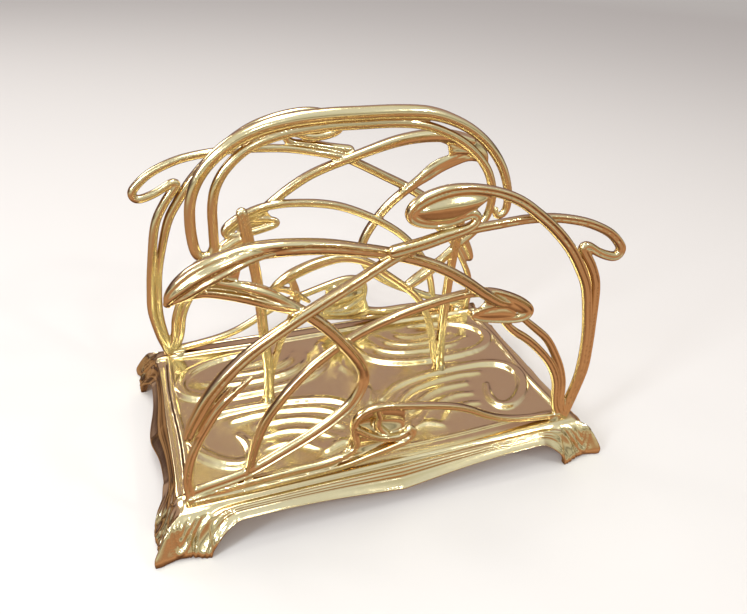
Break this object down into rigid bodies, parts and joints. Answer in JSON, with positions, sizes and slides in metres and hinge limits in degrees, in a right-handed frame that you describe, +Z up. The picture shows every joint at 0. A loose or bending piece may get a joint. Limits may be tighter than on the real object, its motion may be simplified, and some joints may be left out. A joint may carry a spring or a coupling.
{
  "type": "toast rack",
  "caption": "Cast brass rack on a footed tray: openwork whiplash panels stand front and back, with a taller arched divider between them, leaving open-ended slots.",
  "frame": {"origin": "on the table, under the centre of the footed tray", "axes": "+Z up, +X along the panels to the right as the front panel is seen, +Y from the front panel to the back panel"},
  "size_m": [0.221, 0.1396, 0.1653],
  "materials": {
    "base": "polished cast",
    "front_panel": "polished cast",
    "back_panel": "polished cast",
    "centre_divider": "polished cast",
    "steel": "plain"
  },
  "bodies": {
    "root": {"base": "base", "front_panel": "front_panel", "back_panel": "back_panel", "centre_divider": "centre_divider", "screw_front_left": "steel", "screw_front_right": "steel", "screw_back_left": "steel", "screw_back_right": "steel", "screw_centre_left": "steel", "screw_centre_right": "steel", "washer_front_left": "steel", "washer_front_right": "steel", "washer_back_left": "steel", "washer_back_right": "steel", "washer_centre_left": "steel", "washer_centre_right": "steel"}
  },
  "joints": []
}
